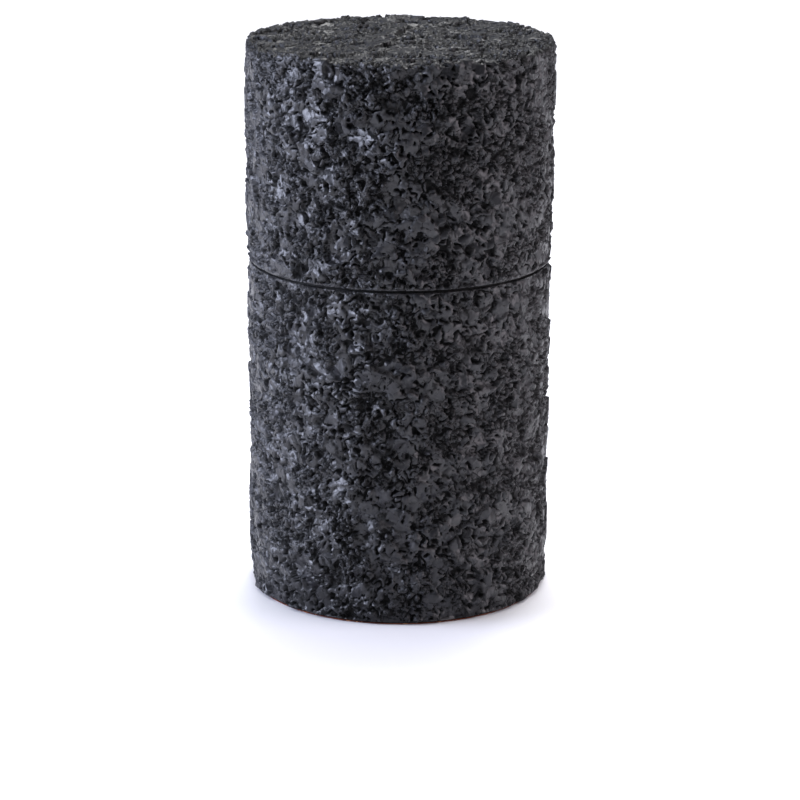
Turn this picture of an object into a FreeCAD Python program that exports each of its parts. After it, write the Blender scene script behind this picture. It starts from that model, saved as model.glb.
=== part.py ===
import FreeCAD, Part
import math
import os

# Tea caddy, in millimetres: a round canister wound from wood veneer and wrapped in
# rough cherry bark, a deep lift-off lid that slides over the canister's collar, and
# an inner lid with a small knob that closes the collar's mouth.
# The origin is the centre of the underside, and +Z is the axis that every piece is
# turned or wound about.

# ---- driving dimensions ----
outer_diameter = 92.0        # over the bark
total_height = 170.0
seam_height = 103.5          # where the lid meets the canister
collar_height = 30.0         # how far the inner tube stands above the seam

rough_bark = 1.6             # thickness of the bark round the sides
top_bark = 1.8               # thickness of the bark on the lid's top
polished_bark = 0.3          # thickness of every lining and facing
collar_skin = 0.35           # polished bark round the collar
base_skin = 0.4              # bark disc under the base
lid_shell_wall = 2.0
inner_tube_wall = 1.2
board = 4.2                  # bottom board and lid board

slide_gap = 0.15             # all round, between the lid's lining and the collar
rest_gap = 0.05              # under a piece that sits on another body
bark_gap = 0.35              # bark stops this short of the seam, above and below it
base_inset = 0.8             # the base disc is this much smaller in radius than the bark

plug_depth = 6.0             # how far the inner lid reaches into the collar
plug_gap = 0.3               # all round, between the plug and the lining
flange_thickness = 2.4
flange_inset = 0.2           # the flange is this much smaller in radius than the tube

knob_height = 11.0
knob_foot_radius = 5.0
knob_waist_radius = 3.8
knob_waist_height = 4.0
knob_head_radius = 7.5
knob_foot_cove = 0.3         # how far the foot is hollowed in from a straight taper
knob_neck_cove = 1.1         # the same between the waist and the head
knob_dome = 3.0              # height of the domed top of the knob
knob_brow_edge = 0.6         # rounding under the dome
peg_radius = 1.6
peg_in_knob = 6.0
peg_in_board = 5.5

soft_edge = 0.25             # broken edge on wood
bark_edge = 0.5              # rounding where the bark meets the seam
crown_edge = 1.1             # rounding of the bark at the lid's top corner
skin_edge = 0.15             # broken edge on a facing

# ---- radii, from the outside in ----
bark_radius = outer_diameter / 2
shell_radius = bark_radius - rough_bark
lid_bore = shell_radius - lid_shell_wall
lid_lining_bore = lid_bore - polished_bark
collar_radius = lid_lining_bore - slide_gap
tube_radius = collar_radius - collar_skin
tube_bore = tube_radius - inner_tube_wall
chamber_radius = tube_bore - polished_bark
base_radius = bark_radius - base_inset
plug_radius = chamber_radius - plug_gap
flange_radius = tube_radius - flange_inset

# ---- heights ----
board_top = base_skin + board
floor_top = board_top + polished_bark
collar_top = seam_height + collar_height
lid_bottom = seam_height + rest_gap
lid_board_top = total_height - top_bark
lid_board_bottom = lid_board_top - board
ceiling = lid_board_bottom - polished_bark
flange_bottom = collar_top + rest_gap
flange_top = flange_bottom + flange_thickness
plug_bottom = collar_top - plug_depth
facing_top = flange_top + polished_bark
knob_top = facing_top + knob_height

# ---- drawing helpers ----
up = FreeCAD.Vector(0, 0, 1)


def disc(radius, bottom, top):
    return Part.makeCylinder(radius, top - bottom, FreeCAD.Vector(0, 0, bottom))


def ring(outer, inner, bottom, top):
    return disc(outer, bottom, top).cut(disc(inner, bottom, top))


def rims(shape, radius, height):
    """The circular edges of shape with that radius, at that height."""
    found = []
    for edge in shape.Edges:
        if edge.Degenerated or not isinstance(edge.Curve, Part.Circle):
            continue
        off = abs(edge.Curve.Radius - radius) + abs(edge.Curve.Center.z - height)
        if off < 1e-6:
            found.append(edge)
    return found


def rounded(shape, size, *places):
    """Round the edges at (radius, height) places."""
    edges = [edge for place in places for edge in rims(shape, *place)]
    return shape.makeFillet(size, edges)


def bevelled(shape, size, *places):
    """Break the edges at (radius, height) places with a 45 degree chamfer."""
    edges = [edge for place in places for edge in rims(shape, *place)]
    return shape.makeChamfer(size, edges)


def point(radius, height):
    return FreeCAD.Vector(radius, 0, height)


# ---- the canister ----
def body_bark():
    """Rough bark, one sheet wrapped round the canister and stopped short of the seam."""
    top = seam_height - bark_gap
    wrap = ring(bark_radius, shell_radius, base_skin, top)
    return rounded(wrap, bark_edge, (bark_radius, top), (bark_radius, base_skin))


def body_shell():
    """Tube wound from veneer. The lid rests on its top end."""
    tube = ring(shell_radius, tube_radius, base_skin, seam_height)
    return bevelled(tube, soft_edge, (shell_radius, seam_height))


def inner_tube():
    """Veneer tube from the bottom board up through the shell. Its top is the collar."""
    tube = ring(tube_radius, tube_bore, board_top, collar_top)
    return bevelled(tube, soft_edge, (tube_radius, collar_top), (tube_bore, collar_top))


def collar_bark():
    """Polished bark round the part of the inner tube that the lid slides over."""
    return ring(collar_radius, tube_radius, seam_height, collar_top - soft_edge)


def chamber_lining():
    """Polished bark on the inside of the inner tube."""
    return ring(tube_bore, chamber_radius, floor_top, collar_top - soft_edge)


def chamber_floor_bark():
    return disc(tube_bore, board_top, floor_top)


def base_board():
    """Wooden bottom, glued into the lower end of the shell."""
    return disc(tube_radius, base_skin, board_top)


def base_bark():
    """Bark disc that covers the underside, and the face that the caddy stands on."""
    return bevelled(disc(base_radius, 0, base_skin), skin_edge, (base_radius, 0))


# ---- the lid ----
def lid_side_bark():
    """Rough bark, one sheet round the lid, with a rounded corner at the top."""
    bottom = seam_height + bark_gap
    wrap = ring(bark_radius, shell_radius, bottom, total_height)
    wrap = rounded(wrap, bark_edge, (bark_radius, bottom))
    return rounded(wrap, crown_edge, (bark_radius, total_height))


def lid_shell():
    """Veneer tube whose lower end rests on the canister's shell."""
    tube = ring(shell_radius, lid_bore, lid_bottom, lid_board_top)
    return bevelled(tube, soft_edge, (shell_radius, lid_bottom), (lid_bore, lid_bottom))


def lid_lining():
    """Polished bark inside the lid, sliding over the collar."""
    return ring(lid_bore, lid_lining_bore, lid_bottom + soft_edge, ceiling)


def lid_top_board():
    return disc(lid_bore, lid_board_bottom, lid_board_top)


def lid_top_bark():
    """Rough bark disc over the board and the end of the shell, inside the side bark."""
    return disc(shell_radius, lid_board_top, total_height)


def lid_ceiling_bark():
    return disc(lid_bore, ceiling, lid_board_bottom)


# ---- the inner lid ----
def inner_lid_board():
    """Turned wood: a plug that enters the collar and a flange that rests on its end."""
    plug = disc(plug_radius, plug_bottom, flange_bottom)
    flange = disc(flange_radius, flange_bottom, flange_top)
    turned = plug.fuse(flange).removeSplitter()
    turned = rounded(turned, 2 * soft_edge, (plug_radius, plug_bottom))
    turned = rounded(turned, soft_edge, (flange_radius, flange_bottom))
    return turned.cut(disc(peg_radius, flange_top - peg_in_board, flange_top))


def inner_lid_top_bark():
    """Polished bark facing on the inner lid, with the peg's hole."""
    facing = disc(flange_radius, flange_top, facing_top)
    facing = bevelled(facing, skin_edge, (flange_radius, facing_top))
    return facing.cut(disc(peg_radius, flange_top, facing_top))


def inner_lid_under_bark():
    radius = plug_radius - 2 * soft_edge
    return disc(radius, plug_bottom - polished_bark, plug_bottom)


def cove(start, end, depth):
    """Arc from start to end, hollowed towards the axis by depth at its middle."""
    middle = (start + end) / 2 - FreeCAD.Vector(depth, 0, 0)
    return Part.Arc(start, middle, end)


def dome(brow, top):
    """Arc of the sphere that is centred on the axis, from the brow up to the top."""
    rise = top.z - brow.z
    sphere = (brow.x**2 + rise**2) / (2 * rise)
    lean = math.asin(brow.x / sphere) / 2
    half_way = point(sphere * math.sin(lean), top.z - sphere * (1 - math.cos(lean)))
    return Part.Arc(brow, half_way, top)


def inner_lid_knob():
    """Turned knob: a flared foot, a waist and a domed head, drilled from below for its peg."""
    seat = point(0, facing_top)
    foot = point(knob_foot_radius, facing_top)
    waist = point(knob_waist_radius, facing_top + knob_waist_height)
    brow = point(knob_head_radius, knob_top - knob_dome)
    top = point(0, knob_top)
    outline = (
        cove(foot, waist, knob_foot_cove),
        cove(waist, brow, knob_neck_cove),
        dome(brow, top),
        Part.LineSegment(top, seat),
        Part.LineSegment(seat, foot),
    )
    profile = Part.Face(Part.Wire([side.toShape() for side in outline]))
    knob = profile.revolve(FreeCAD.Vector(0, 0, 0), up, 360)
    knob = rounded(knob, knob_brow_edge, (brow.x, brow.z))
    return knob.cut(disc(peg_radius, facing_top, facing_top + peg_in_knob))


def knob_peg():
    """Bamboo dowel that joins the knob to the inner lid's board."""
    return disc(peg_radius, flange_top - peg_in_board, facing_top + peg_in_knob)


pieces = (
    body_bark,
    body_shell,
    inner_tube,
    collar_bark,
    chamber_lining,
    chamber_floor_bark,
    base_board,
    base_bark,
    lid_side_bark,
    lid_shell,
    lid_lining,
    lid_top_board,
    lid_top_bark,
    lid_ceiling_bark,
    inner_lid_board,
    inner_lid_top_bark,
    inner_lid_under_bark,
    inner_lid_knob,
    knob_peg,
)

os.makedirs("parts", exist_ok=True)
for piece in pieces:
    shape = piece()
    if shape.ShapeType != "Solid":
        shape = shape.Solids[0]
    if shape.Volume < 0 or not shape.isValid():
        raise ValueError(piece.__name__ + " is not a sound solid")
    shape.exportStep("parts/" + piece.__name__ + ".step")
    print(piece.__name__, round(shape.Volume), "mm3")
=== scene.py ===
import math
import bmesh
import bpy
import numpy as np
from mathutils import Matrix, Vector, noise


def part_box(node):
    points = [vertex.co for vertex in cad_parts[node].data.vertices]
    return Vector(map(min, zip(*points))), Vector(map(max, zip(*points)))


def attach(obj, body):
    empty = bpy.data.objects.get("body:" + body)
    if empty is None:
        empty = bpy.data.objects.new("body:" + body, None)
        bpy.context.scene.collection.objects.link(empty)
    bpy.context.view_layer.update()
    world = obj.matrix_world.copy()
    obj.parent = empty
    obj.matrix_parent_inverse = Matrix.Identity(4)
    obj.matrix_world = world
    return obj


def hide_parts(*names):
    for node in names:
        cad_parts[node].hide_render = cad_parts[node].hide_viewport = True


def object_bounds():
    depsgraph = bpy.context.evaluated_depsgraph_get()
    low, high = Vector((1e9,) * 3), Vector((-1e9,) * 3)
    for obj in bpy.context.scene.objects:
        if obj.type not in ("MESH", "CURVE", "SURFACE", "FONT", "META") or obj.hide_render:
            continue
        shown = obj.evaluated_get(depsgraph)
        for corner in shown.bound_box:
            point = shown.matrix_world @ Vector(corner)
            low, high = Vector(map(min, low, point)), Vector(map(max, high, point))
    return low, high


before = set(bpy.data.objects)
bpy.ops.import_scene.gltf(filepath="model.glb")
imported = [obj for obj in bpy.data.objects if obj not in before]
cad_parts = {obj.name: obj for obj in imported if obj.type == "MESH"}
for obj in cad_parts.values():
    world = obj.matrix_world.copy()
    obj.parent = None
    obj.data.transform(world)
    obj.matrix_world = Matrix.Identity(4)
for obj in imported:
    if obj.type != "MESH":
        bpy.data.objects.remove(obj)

mm = 0.001
cadLow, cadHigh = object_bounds()
scene = bpy.context.scene
noise.seed_set(11)  # without it noise_vector differs from run to run
print("frame loaded")


# small helpers

def srgb(hexColour):  # an sRGB hex colour as linear RGBA
    parts = [int(hexColour[i:i + 2], 16) / 255 for i in (1, 3, 5)]
    return [c / 12.92 if c <= 0.04045 else ((c + 0.055) / 1.055) ** 2.4 for c in parts] + [1.0]


def addNode(material, kind, links=None, stops=(), **settings):
    # links: input name or number -> (node, output name). stops: (position, sRGB hex) along a colour ramp.
    # settings: node properties, or unlinked inputs as in_3 or in_Base_Color
    node = material.node_tree.nodes.new(kind)
    for key, value in settings.items():
        if key.startswith("in_"):
            socket = int(key[3:]) if key[3:].isdigit() else key[3:].replace("_", " ")
            node.inputs[socket].default_value = value
        else:
            setattr(node, key, value)
    for i, (position, hexColour) in enumerate(stops):
        stop = node.color_ramp.elements[i] if i < 2 else node.color_ramp.elements.new(position)
        stop.position, stop.color = position, srgb(hexColour)
    for name, (source, output) in (links or {}).items():
        material.node_tree.links.new(source.outputs[output], node.inputs[name])
    return node


def newMaterial(name):
    material = bpy.data.materials.new(name)
    material.use_nodes = True
    material.node_tree.nodes.clear()
    return material


def toObject(bm, name):
    mesh = bpy.data.meshes.new(name)
    bm.to_mesh(mesh)
    bm.free()
    piece = bpy.data.objects.new(name, mesh)
    scene.collection.objects.link(piece)
    return piece


def fractal(points, size, octaves=1, seed=0):  # about -1 to 1, features of that size in mm
    shift = Vector((17.3, 5.1, 11.7)) * seed
    return np.array([noise.fractal(p / size + shift, 1.0, 2.0, octaves) for p in points])


def ramp(values, low, high):  # 0 below low, 1 above high, smooth between
    t = np.clip((values - low) / (high - low), 0, 1)
    return t * t * (3 - 2 * t)


# rough bark

bark = {
    "cell": 0.29,            # mm between points, before thinning
    "triangles": 197000,     # left in each sheet after thinning
    "bodyInset": 0.36,       # mm, the mean surface lies this far inside the CAD radius
    "lidInset": 0.08,        # mm, the same on the lid, which stands a little proud
    "lowest": -1.3,          # mm from the mean, deeper pits are cut off flat here
    "highest": 1.1,          # mm from the mean
    "thinnest": 0.1,         # mm, what is left of a sheet under its deepest pits
    "patchSize": 11.0,       # mm, patches of crumbly bark between smoother flakes
    "swell": 0.3,            # mm, slow waves in the sheet
    "swellSize": 14.0,       # mm
    "plate": 0.7,            # mm, steps between the flakes of bark
    "plateTilt": 0.75,       # mm, rise across a tilted flake
    "plateSize": 6.5,        # mm
    "plateEdge": 0.3,        # mm deep, round a flake
    "lump": 0.8,             # mm, height of the crumbs
    "lumpTilt": 0.55,        # mm
    "lumpSize": 2.3,         # mm
    "gap": 0.6,              # mm deep, between crumbs
    "crumb": 0.3,            # mm, smaller crumbs on the lumps
    "crumbSize": 1.2,        # mm
    "wrinkle": 0.4,          # mm high
    "wrinkleSize": 2.8,      # mm
    "pit": 1.6,              # mm deep
    "pitSize": 1.8,          # mm
    "crack": 1.4,            # mm deep
    "crackSize": 7.5,        # mm between cracks
    "fissure": 1.0,          # mm deep
    "fissureSize": 2.8,      # mm between fissures
    "seamStrip": 1.6,        # mm, pressed flat along the seam
    "seamGap": 0.24,         # mm, from the cut edge to the seam
    "seamRounding": 0.12,    # mm
    "footStrip": 0.8,        # mm, pressed flat along the foot
    "footRounding": 0.7,     # mm
    "crownRounding": 1.35,   # mm, where the side meets the lid's top
    "crownWidth": 0.6,       # mm, the line between the disc on the lid's top and the sheet round the side
    "crownDepth": 0.6,       # mm
    "buttWidth": 0.6,        # mm, the line at the back where the two ends of a sheet meet
    "buttDepth": 0.8,        # mm
    "buttWander": 1.1,       # mm, either way
    "hidden": 0.3,           # mm, how far the back of a sheet lies in from its rims
}


def heights(node):
    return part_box(node)[0].z / mm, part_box(node)[1].z / mm


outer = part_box("body_bark")[1].x / mm
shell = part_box("body_shell")[1].x / mm
bodyFoot = heights("body_bark")[0]
lidTop = heights("lid_side_bark")[1]
seam = heights("body_shell")[1]


def warped(points, size, amount, seed):  # moved about by up to that amount, in waves of that size, both mm
    shift = Vector((3.3, 9.1, 6.7)) * seed
    return [p + noise.noise_vector(p / size + shift) * amount for p in points]


def cells(points, plain, size, seed):
    # per point: distance to the nearest centre, to the second nearest, and a height and a tilted plane
    # that the whole cell shares. The planes stay flat although the cells' edges are warped
    shift = Vector((7.7, 2.9, 4.3)) * seed
    rows = []
    for p, flat in zip(points, plain):
        distances, centres = noise.voronoi(p / size + shift)
        key = centres[0] * 41.7
        slope = noise.cell_vector(key).dot(flat / size + shift - centres[0])
        rows.append((distances[0], distances[1], noise.cell(key), slope))
    return np.array(rows).T


def wanderingLines(points, size, width, seed):  # 1 along thin lines, 0 off them
    return 1 - ramp(np.abs(fractal(points, size, 2, seed)), width * 0.35, width)


def patches(points, size, seed, low, high):  # 1 in patches of about that size in mm, 0 between them
    return ramp(fractal(points, size, 1, seed), low, high)


def barkRelief(points):
    # points on the smooth surface, in mm. Returns per point the height in mm, how far down a hollow it is
    # and how crumbly the bark is there, both 0 to 1
    ragged = warped(warped(points, 2.6, 1.8, 1), 0.9, 0.45, 2)
    soft = warped(points, 1.7, 0.55, 5)
    crumbly = ramp(fractal(points, bark["patchSize"], 2, 4), 0.0, 0.22)

    # flakes, each at its own height and tilt
    near, second, plateHeight, plateTilt = cells(ragged, points, bark["plateSize"], 3)
    plateEdge = 1 - ramp(second - near, 0.0, 0.07)

    # crumbs, the gaps between them and the smaller crumbs on them
    near, second, lumpHeight, lumpTilt = cells(soft, points, bark["lumpSize"], 6)
    lump = np.sqrt(np.clip(1 - (near / 0.8) ** 2, 0, 1)) * (0.7 + 0.6 * lumpHeight)
    gap = (1 - ramp(second - near, 0.0, 0.18)) * patches(points, 3.0, 15, -0.2, 0.1)
    crumb = np.clip(1 - (cells(soft, points, bark["crumbSize"], 14)[0] / 0.8) ** 2, 0, 1)

    # wrinkles stand up, while pits, cracks and fissures go down
    wrinkle = np.clip(1 - np.abs(fractal(ragged, bark["wrinkleSize"], 2, 7)) * 6, 0, 1) ** 1.5
    wrinkle *= patches(points, 4.0, 8, 0.0, 0.2)
    pit = ramp(fractal(ragged, bark["pitSize"], 2, 9), 0.36, 0.43)
    crack = wanderingLines(ragged, bark["crackSize"], 0.07, 10) * patches(points, 6.5, 11, -0.1, 0.05)
    fissure = wanderingLines(soft, bark["fissureSize"], 0.12, 16) * patches(points, 3.5, 17, -0.1, 0.1)
    fissure *= 0.15 + 0.85 * crumbly

    height = bark["swell"] * fractal(points, bark["swellSize"], 2, 13)
    height += (bark["plate"] * plateHeight + bark["plateTilt"] * plateTilt) * (1 - 0.3 * crumbly)
    height += (bark["lump"] * (lump - 0.6) + bark["lumpTilt"] * lumpTilt) * (0.1 + 0.9 * crumbly)
    height += bark["crumb"] * (crumb - 0.5) * crumbly
    height += bark["wrinkle"] * wrinkle
    height -= np.maximum.reduce([
        bark["pit"] * pit, bark["crack"] * crack, bark["fissure"] * fissure,
        bark["gap"] * gap * crumbly, bark["plateEdge"] * plateEdge])
    height = np.clip(height - height.mean(), bark["lowest"], bark["highest"])
    # hollow: where the lacquer paints shade, black and dull, into pits, cracks, fissures and gaps
    hollow = np.maximum.reduce([pit, crack, fissure, 0.8 * gap * crumbly, 0.7 * plateEdge])
    print("bark relief from %.2f to %.2f mm" % (height.min(), height.max()))
    return height, np.clip(hollow, 0, 1), crumbly


def crownLine(points, fromEdge):
    # how far down the line round the lid's top goes, in mm. It comes and goes along the rim
    parted = ramp(fractal(points, 9.0, 2, 21), -0.05, 0.2)
    return bark["crownDepth"] * (1 - ramp(fromEdge, 0.0, bark["crownWidth"])) * parted


def buttLine(points, turn):  # 1 along the wandering line at the back, 0 off it
    fromBack = (np.mod(turn + 2 * math.pi, 2 * math.pi) - math.pi) * outer
    fromLine = np.abs(fromBack + bark["buttWander"] * fractal(points, 8.0, 3, 23))
    return 1 - ramp(fromLine, bark["buttWidth"] * 0.3, bark["buttWidth"])


def addLayers(bm, hollow, crumbly):  # the lacquer reads both, and paints shade into the hollows
    for name, values in (("hollow", hollow), ("crumbly", crumbly)):
        layer = bm.verts.layers.float.new(name)
        for v, value in zip(bm.verts, values):
            v[layer] = value


def triangles(mesh):
    return sum(len(p.vertices) - 2 for p in mesh.polygons)


def thin(piece):
    bpy.context.view_layer.update()
    modifier = piece.modifiers.new("thin", "DECIMATE")
    modifier.ratio = min(1.0, bark["triangles"] / triangles(piece.data))
    evaluated = piece.evaluated_get(bpy.context.evaluated_depsgraph_get())
    thinned = bpy.data.meshes.new_from_object(evaluated)
    piece.modifiers.clear()
    piece.data = thinned
    thinned.shade_smooth()
    print(piece.name, "has", triangles(thinned), "triangles")


def sectionPath(*corners):  # a section of straight runs and rounded corners. corners: (radius, height, rounding)
    path = []
    for i, (r, z, rounding) in enumerate(corners):
        here = Vector((r, z))
        if not rounding:
            path.append(here)
            continue
        before = (Vector(corners[i - 1][:2]) - here).normalized()
        after = (Vector(corners[i + 1][:2]) - here).normalized()
        centre = here + (before + after) * rounding
        for k in range(13):
            turn = math.radians(7.5 * k)
            path.append(centre - after * rounding * math.cos(turn) - before * rounding * math.sin(turn))
    return np.array(path)


def lengthsAlong(path):
    return np.concatenate([[0], np.cumsum(np.hypot(*np.diff(path, axis=0).T))])


def section(path, steps):  # evenly spaced points along the path, and the way out of the sheet at each one
    length = lengthsAlong(path)
    at = np.linspace(0, length[-1], steps + 1)
    r, z = np.interp(at, length, path[:, 0]), np.interp(at, length, path[:, 1])
    along = np.stack([np.gradient(r), np.gradient(z)], 1)
    along /= np.hypot(*along.T)[:, None]
    return r, z, along[:, 1], -along[:, 0]


def closeBack(bm, radius):  # both rims of the tube go in to that radius, and a plain tube joins them
    middleHeight = sum(v.co.z for v in bm.verts) / len(bm.verts)
    boundary = [e for e in bm.edges if e.is_boundary]
    rims = []
    for top in (False, True):
        rim = [e for e in boundary if (e.verts[0].co.z > middleHeight) == top]
        new = bmesh.ops.extrude_edge_only(bm, edges=rim)["geom"]
        for v in [g for g in new if isinstance(g, bmesh.types.BMVert)]:
            v.co.xy = v.co.xy.normalized() * radius
        rims += [g for g in new if isinstance(g, bmesh.types.BMEdge) and g.is_boundary]
    bmesh.ops.bridge_loops(bm, edges=rims)


def barkWrap(name, node, *corners):  # a sheet of bark rolled into a tube, its ends meeting at the back
    path = sectionPath(*corners)
    run = lengthsAlong(path)[-1]
    around = round(2 * math.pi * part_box(node)[1].x / mm / bark["cell"])
    up = round(run / bark["cell"])
    r, z, outR, outZ = section(path, up)
    bm = bmesh.new()
    bmesh.ops.create_grid(bm, x_segments=around, y_segments=up, size=0.5)
    flat = np.array([v.co for v in bm.verts])
    turn, row = flat[:, 0] * 2 * math.pi, np.rint((flat[:, 1] + 0.5) * up).astype(int)
    sine, cosine = np.sin(turn), -np.cos(turn)
    points = [Vector(p) for p in np.stack([r[row] * sine, r[row] * cosine, z[row]], 1)]

    height, hollow, crumbly = barkRelief(points)
    butt = buttLine(points, turn)
    height -= bark["buttDepth"] * butt
    # painted shade: the butt line's groove is painted black and dull, like the hollows
    hollow = np.maximum(hollow, butt)
    if node == "lid_side_bark":
        inset = bark["lidInset"]
        fade = 0.1 + 0.9 * ramp(z[row] - z[0], 0.0, bark["seamStrip"])
        height -= crownLine(points, (up - row) * run / up)
    else:
        inset = bark["bodyInset"]
        fade = 0.1 + 0.9 * ramp(z[-1] - z[row], 0.0, bark["seamStrip"])
        fade *= ramp(z[row] - z[0], 0.0, bark["footStrip"])
    height = np.maximum(height * fade - inset, shell - outer + bark["thinnest"])
    hollow *= fade
    hollow[(r[row] < outer - 0.2) & (np.abs(z[row] - seam) < 1)] = 1  # painted shade: the cut edges at the seam are painted black and dull, as the shade deep in the seam groove

    reach = (r[row] + outR[row] * height) * mm
    level = (z[row] + outZ[row] * height) * mm
    for v, radius, s, c, h in zip(bm.verts, reach, sine, cosine, level):
        v.co = (radius * s, radius * c, h)
    addLayers(bm, hollow, crumbly)
    bmesh.ops.remove_doubles(bm, verts=bm.verts, dist=0.005 * mm)
    closeBack(bm, (min(c[0] for c in corners) - bark["hidden"]) * mm)
    bmesh.ops.recalc_face_normals(bm, faces=bm.faces)
    piece = toObject(bm, name)
    thin(piece)
    return piece


def barkTop(name, node):  # the disc of bark on the lid
    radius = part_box(node)[1].x / mm
    bottom, top = heights(node)
    cuts = round(2 * radius / bark["cell"])
    bm = bmesh.new()
    bmesh.ops.create_grid(bm, x_segments=cuts, y_segments=cuts, size=0.5)
    for v in bm.verts:  # squeeze the square sheet into a disc
        u, w = v.co.x * 2, v.co.y * 2
        v.co.x = u * math.sqrt(1 - w * w / 2) * radius
        v.co.y = w * math.sqrt(1 - u * u / 2) * radius
        v.co.z = top
    points = [v.co.copy() for v in bm.verts]

    height, hollow, crumbly = barkRelief(points)
    height -= crownLine(points, radius - np.array([p.xy.length for p in points]))
    height = np.maximum(height - bark["lidInset"], bottom - top + bark["thinnest"])
    for v, h in zip(bm.verts, height):
        v.co.z = top + h
        v.co *= mm
    addLayers(bm, hollow, crumbly)
    rim = [e for e in bm.edges if e.is_boundary]
    new = bmesh.ops.extrude_edge_only(bm, edges=rim)["geom"]
    for v in [g for g in new if isinstance(g, bmesh.types.BMVert)]:
        v.co.z = bottom * mm
    bottomRim = [g for g in new if isinstance(g, bmesh.types.BMEdge) and g.is_boundary]
    bmesh.ops.edgeloop_fill(bm, edges=bottomRim)
    bmesh.ops.recalc_face_normals(bm, faces=bm.faces)
    piece = toObject(bm, name)
    thin(piece)
    return piece


seamBelow, seamAbove = seam - bark["seamGap"], seam + bark["seamGap"]
bodyBark = barkWrap(
    "bodyBark", "body_bark",
    (shell + 0.3, bodyFoot, 0),
    (outer, bodyFoot, bark["footRounding"]),
    (outer, seamBelow, bark["seamRounding"]),
    (shell + 0.3, seamBelow, 0))
lidBark = barkWrap(
    "lidSideBark", "lid_side_bark",
    (shell + 0.3, seamAbove, 0),
    (outer, seamAbove, bark["seamRounding"]),
    (outer, lidTop, bark["crownRounding"]),
    (shell + 0.05, lidTop, 0))
topBark = barkTop("lidTopBark", "lid_top_bark")
print("bark sheets made")


# finishes

def shade(material, links=None, **settings):
    shader = addNode(material, "ShaderNodeBsdfPrincipled", links, **settings)
    addNode(material, "ShaderNodeOutputMaterial", {"Surface": (shader, "BSDF")})


lacquer = {
    "colour": "#151519",
    # painted shade: the colour in the deepest crevices
    "crevicePaintedShade": "#000000",
    "glossiest": 0.37,       # roughness
    "dullest": 0.48,
    "wander": 1.8,           # mm, waves in the flakes' edges and how far they reach
    "flake": 3.6,            # mm
    "flakeStep": 0.4,        # mm, between one flake and the next
    "flakeTilt": 0.8,        # rise for each mm across, at most half of this
    "grit": 1.15,            # mm. The real grit is finer, but would not show at this size
    "gritOnFlakes": 0.1,     # mm high
    "gritOnCrumbs": 0.8,     # mm high
}


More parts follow.
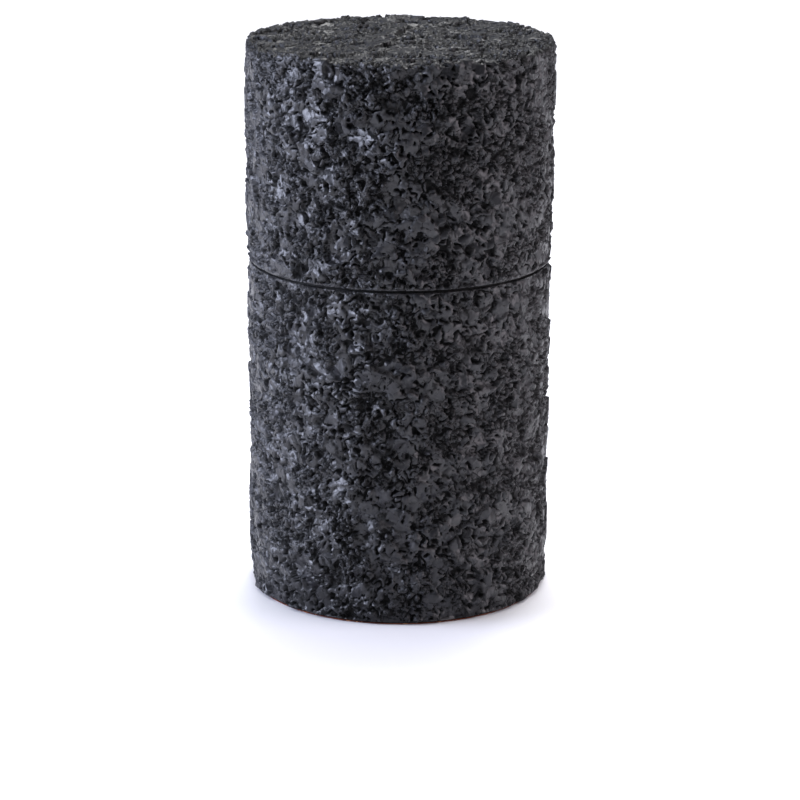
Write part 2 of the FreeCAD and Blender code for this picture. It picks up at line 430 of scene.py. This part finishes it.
def blackBark():  # cherry bark left rough, sprayed with a matte black lacquer: painted shade makes the crevices black, a faint cool sheen
    material = newMaterial("roughBarkBlackLacquer")
    coords = addNode(material, "ShaderNodeTexCoord")
    hollow = addNode(material, "ShaderNodeAttribute", attribute_name="hollow")
    crumbly = addNode(material, "ShaderNodeAttribute", attribute_name="crumbly")
    wander = addNode(material, "ShaderNodeTexNoise", {"Vector": (coords, "Object")},
                     in_Scale=1 / (lacquer["wander"] * mm), in_Detail=2.5, in_Roughness=0.6)
    drift = addNode(material, "ShaderNodeVectorMath", {0: (wander, "Color")},
                    operation="SCALE", in_Scale=lacquer["wander"] * mm)
    ragged = addNode(material, "ShaderNodeVectorMath", {0: (coords, "Object"), 1: (drift, "Vector")})

    # flakes with their own tilt, stepped at their ragged edges
    flake = addNode(material, "ShaderNodeTexVoronoi", {"Vector": (ragged, "Vector")},
                    in_Scale=1 / (lacquer["flake"] * mm))
    offset = addNode(material, "ShaderNodeVectorMath", {0: (coords, "Object"), 1: (flake, "Position")},
                     operation="SUBTRACT")
    anyWay = addNode(material, "ShaderNodeVectorMath", {0: (flake, "Color")},
                     operation="SUBTRACT", in_1=(0.5, 0.5, 0.5))
    lean = addNode(material, "ShaderNodeVectorMath", {0: (anyWay, "Vector")},
                   operation="SCALE", in_Scale=lacquer["flakeTilt"])
    tilt = addNode(material, "ShaderNodeVectorMath", {0: (offset, "Vector"), 1: (lean, "Vector")},
                   operation="DOT_PRODUCT")
    step = addNode(material, "ShaderNodeMath", {0: (flake, "Color"), 2: (tilt, "Value")},
                   operation="MULTIPLY_ADD", in_1=lacquer["flakeStep"] * mm)

    # grit, low on the flakes and high where the bark is crumbly
    grit = addNode(material, "ShaderNodeTexNoise", {"Vector": (ragged, "Vector")},
                   in_Scale=1 / (lacquer["grit"] * mm), in_Detail=1.2, in_Roughness=0.5)
    loose = addNode(material, "ShaderNodeMapRange", {"Value": (crumbly, "Fac")},
                    in_3=lacquer["gritOnFlakes"] * mm, in_4=lacquer["gritOnCrumbs"] * mm)
    height = addNode(material, "ShaderNodeMath", {0: (grit, "Fac"), 1: (loose, "Result"), 2: (step, "Value")},
                     operation="MULTIPLY_ADD")
    bump = addNode(material, "ShaderNodeBump", {"Height": (height, "Value")}, in_Distance=1.0, in_Strength=1.0)

    # deep: painted shade, dark gaps along some of the flakes' edges, the grit's lowest parts and the sheet's own
    # hollows, where shade falls; there the colour goes black and the roughness rises
    edge = addNode(material, "ShaderNodeTexVoronoi", {"Vector": (ragged, "Vector")},
                   feature="DISTANCE_TO_EDGE", in_Scale=1 / (lacquer["flake"] * mm))
    gap = addNode(material, "ShaderNodeMapRange", {"Value": (edge, "Distance")}, in_1=0.06, in_2=0.015)
    some = addNode(material, "ShaderNodeMapRange", {"Value": (wander, "Fac")}, in_1=0.52, in_2=0.56)
    line = addNode(material, "ShaderNodeMath", {0: (gap, "Result"), 1: (some, "Result")}, operation="MULTIPLY")
    low = addNode(material, "ShaderNodeMapRange", {"Value": (grit, "Fac")}, in_1=0.4, in_2=0.32)
    lowest = addNode(material, "ShaderNodeMath", {0: (low, "Result"), 1: (crumbly, "Fac")}, operation="MULTIPLY")
    both = addNode(material, "ShaderNodeMath", {0: (line, "Value"), 1: (lowest, "Value")}, operation="MAXIMUM")
    deep = addNode(material, "ShaderNodeMath", {0: (both, "Value"), 2: (hollow, "Fac")},
                   operation="MULTIPLY_ADD", in_1=0.7, use_clamp=True)
    # painted shade: the lacquer's colour goes to black where deep is high
    colour = addNode(material, "ShaderNodeValToRGB", {"Fac": (deep, "Value")},
                     stops=((0.1, lacquer["colour"]), (0.65, lacquer["crevicePaintedShade"])))
    sheen = addNode(material, "ShaderNodeMapRange", {"Value": (wander, "Fac")},
                    in_1=0.35, in_2=0.65, in_3=lacquer["glossiest"], in_4=lacquer["dullest"])
    rough = addNode(material, "ShaderNodeMapRange", {"Value": (deep, "Value"), "To Min": (sheen, "Result")},
                    in_1=0.15, in_2=0.7, in_4=1.0)
    shade(material, {"Base Color": (colour, "Color"), "Roughness": (rough, "Result"), "Normal": (bump, "Normal")},
          in_IOR=1.5)
    return material


polish = {
    "streaks": ("#34150d", "#582816", "#733c20"),
    "streakLength": 34.0,    # mm
    "pore": "#8d5c3a",
    "poreLength": 9.0,       # mm
    "poreDepth": 0.08,       # mm
    "stretch": 13.0,         # length over width of streaks and pores
    "radius": 42.0,          # mm, of the wrapped sheets, about
    "smooth": 0.2,           # roughness
    "poreRoughness": 0.5,
}


def polishedBark(name, wrapped):  # cherry bark scraped thin and buffed: glossy red-brown, pale pores in level dashes
    material = newMaterial(name)
    coords = addNode(material, "ShaderNodeTexCoord")
    turned = addNode(material, "ShaderNodeMapping", {"Vector": (coords, "Object")},
                     in_Rotation=(0, 0, math.radians(90)))
    axes = addNode(material, "ShaderNodeSeparateXYZ", {"Vector": (turned, "Vector")})
    if wrapped:  # along the sheet, then up it
        turn = addNode(material, "ShaderNodeMath", {0: (axes, "Y"), 1: (axes, "X")}, operation="ARCTAN2")
        along = addNode(material, "ShaderNodeMath", {0: (turn, "Value")},
                        operation="MULTIPLY", in_1=polish["radius"] * mm)
        across = addNode(material, "ShaderNodeMath", {0: (axes, "Z")}, operation="MULTIPLY", in_1=polish["stretch"])
        sheet = addNode(material, "ShaderNodeCombineXYZ", {"X": (along, "Value"), "Y": (across, "Value")})
    else:
        across = addNode(material, "ShaderNodeMath", {0: (axes, "X")}, operation="MULTIPLY", in_1=polish["stretch"])
        sheet = addNode(material, "ShaderNodeCombineXYZ", {"X": (axes, "Y"), "Y": (across, "Value")})
    pores = addNode(material, "ShaderNodeTexNoise", {"Vector": (sheet, "Vector")},
                    in_Scale=1 / (polish["poreLength"] * mm), in_Detail=1.5, in_Roughness=0.55)
    streaks = addNode(material, "ShaderNodeTexNoise", {"Vector": (sheet, "Vector")},
                      in_Scale=1 / (polish["streakLength"] * mm), in_Detail=4.0, in_Roughness=0.6)
    skin = addNode(material, "ShaderNodeValToRGB", {"Fac": (streaks, "Fac")},
                   stops=tuple(zip((0.32, 0.52, 0.72), polish["streaks"])))
    dash = addNode(material, "ShaderNodeValToRGB", {"Fac": (pores, "Fac")},
                   stops=((0.64, "#000000"), (0.68, "#ffffff")))
    colour = addNode(material, "ShaderNodeMix", {"Factor": (dash, "Color"), 6: (skin, "Color")}, data_type="RGBA")
    colour.inputs[7].default_value = srgb(polish["pore"])
    rough = addNode(material, "ShaderNodeMapRange", {"Value": (dash, "Color")},
                    in_3=polish["smooth"], in_4=polish["poreRoughness"])
    bump = addNode(material, "ShaderNodeBump", {"Height": (dash, "Color")},
                   in_Distance=polish["poreDepth"] * mm, in_Strength=0.8)
    shade(material, {"Base Color": (colour, 2), "Roughness": (rough, "Result"), "Normal": (bump, "Normal")}, in_IOR=1.5)
    return material


def wood(name, along, coarse, light, dark, roughness):
    # grain that runs along one axis, its lines about coarse mm apart
    material = newMaterial(name)
    coords = addNode(material, "ShaderNodeTexCoord")
    stretch = 16.0  # length over width of the lines
    squeeze = [1.0 if axis == along else stretch for axis in "XYZ"]
    place = addNode(material, "ShaderNodeVectorMath", {0: (coords, "Object")}, operation="MULTIPLY", in_1=squeeze)
    grain = addNode(material, "ShaderNodeTexNoise", {"Vector": (place, "Vector")},
                    in_Scale=1 / (stretch * coarse * mm), in_Detail=4.0, in_Roughness=0.6, in_Distortion=0.4)
    colour = addNode(material, "ShaderNodeValToRGB", {"Fac": (grain, "Fac")}, stops=((0.36, dark), (0.62, light)))
    rough = addNode(material, "ShaderNodeMapRange", {"Value": (grain, "Fac")},
                    in_3=roughness + 0.1, in_4=roughness - 0.05)
    bump = addNode(material, "ShaderNodeBump", {"Height": (grain, "Fac")}, in_Distance=0.1 * mm, in_Strength=0.6)
    shade(material, {"Base Color": (colour, "Color"), "Roughness": (rough, "Result"), "Normal": (bump, "Normal")},
          in_IOR=1.5)
    return material


barkBlack = blackBark()
barkWrapped = polishedBark("polishedBarkWrapped", True)
barkFlat = polishedBark("polishedBarkFlat", False)
# peeled veneer wound and glued in layers, then stained to match the lacquer: near black and dull
veneerDark = wood("veneerStainedDark", "Z", 0.9, "#080606", "#030202", 0.8)
# the same veneer, sanded and left bare: tan, with fine grain
veneer = wood("veneer", "Z", 0.7, "#b98f62", "#94693f", 0.55)
# planed pale hardwood: straw to tan, soft sheen
boardWood = wood("boardWood", "X", 1.1, "#cda877", "#a97f4f", 0.55)
# cherry turned on a lathe and oiled: warm red-brown with a soft gloss
turnedWood = wood("turnedCherry", "X", 0.8, "#925836", "#6e4026", 0.35)
# split bamboo, shaved round: straw yellow, close straight fibres
bamboo = wood("bamboo", "Z", 0.4, "#d5bf88", "#b0955a", 0.5)

for material, nodes in (
    (veneerDark, ("body_shell", "lid_shell")),
    (veneer, ("inner_tube",)),
    (barkWrapped, ("collar_bark", "chamber_lining", "lid_lining")),
    (barkFlat, ("chamber_floor_bark", "lid_ceiling_bark", "inner_lid_top_bark", "inner_lid_under_bark",
                "base_bark")),
    (boardWood, ("base_board", "lid_top_board", "inner_lid_board")),
    (turnedWood, ("inner_lid_knob",)),
    (bamboo, ("knob_peg",)),
):
    for node in nodes:
        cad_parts[node].data.materials.clear()
        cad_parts[node].data.materials.append(material)

for piece, node, body in (
    (bodyBark, "body_bark", "canister"),
    (lidBark, "lid_side_bark", "lid"),
    (topBark, "lid_top_bark", "lid"),
):
    piece.data.materials.clear()
    piece.data.materials.append(barkBlack)
    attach(piece, body)
    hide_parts(node)
print("finishes set")


# floor, lights, camera

floorLook = {  # painted board: pale and dull
    "reach": 6.0,            # m, from the middle to each side
    "colour": "#b8b8bc",
    "roughness": 0.7,
}


def floorSheet():
    bm = bmesh.new()
    bmesh.ops.create_grid(bm, x_segments=1, y_segments=1, size=floorLook["reach"])
    piece = toObject(bm, "floor")
    material = newMaterial("paleFloor")
    shade(material, in_Base_Color=srgb(floorLook["colour"]), in_Roughness=floorLook["roughness"])
    piece.data.materials.append(material)
    return piece


floor = floorSheet()

studio = {  # place and size in m
    "key": {"place": (-1.0, -0.15, 0.42), "size": (0.6, 0.7), "watts": 26.0, "colour": "#dfe6ff"},
    "top": {"place": (0.05, 0.3, 1.0), "size": (0.35, 0.35), "watts": 7.5, "colour": "#ffffff"},
    "fill": {"place": (1.0, -0.2, 0.4), "size": (0.6, 0.8), "watts": 7.5, "colour": "#f9eff8"},
    "floorLamp": {"place": (0.0, 1.2, 1.6), "size": (3.6, 3.6), "watts": 115.0, "colour": "#ffffff"},
}
room = {"colour": "#e6eaf2", "strength": 0.26}
middle = (cadLow + cadHigh) / 2
for name, lamp in studio.items():
    light = bpy.data.lights.new(name, "AREA")
    light.shape = "RECTANGLE"
    light.size, light.size_y = lamp["size"]
    light.energy = lamp["watts"]
    light.color = srgb(lamp["colour"])[:3]
    holder = bpy.data.objects.new(name, light)
    holder.location = lamp["place"]
    holder.rotation_euler = (middle - Vector(lamp["place"])).to_track_quat("-Z", "Y").to_euler()
    scene.collection.objects.link(holder)
    if name == "floorLamp":  # points straight down and lights the floor only
        holder.rotation_euler = (0, 0, 0)
        lit = bpy.data.collections.new("floorOnly")
        lit.objects.link(floor)
        holder.light_linking.receiver_collection = lit

world = bpy.data.worlds.new("room")
scene.world = world
world.use_nodes = True
world.node_tree.nodes["Background"].inputs["Color"].default_value = srgb(room["colour"])
world.node_tree.nodes["Background"].inputs["Strength"].default_value = room["strength"]
scene.view_settings.view_transform = "Standard"

view = {
    "distance": 0.897,       # m, from the caddy's middle
    "elevation": 14.75,      # degrees, where the camera stands
    "pitch": 16.45,          # degrees, how far it looks down
    "roll": 0.26,            # degrees
    "sideways": 0.0004,      # m
    "lens": 131.0,           # mm
}
camera = bpy.data.objects.new("camera", bpy.data.cameras.new("camera"))
camera.data.lens = view["lens"]
rise = math.radians(view["elevation"])
camera.location = (view["sideways"], -view["distance"] * math.cos(rise),
                   middle.z + view["distance"] * math.sin(rise))
tip = Matrix.Rotation(math.radians(90 - view["pitch"]), 3, "X")
camera.rotation_euler = (tip @ Matrix.Rotation(math.radians(view["roll"]), 3, "Z")).to_euler()
scene.collection.objects.link(camera)
scene.camera = camera

print("stage set")
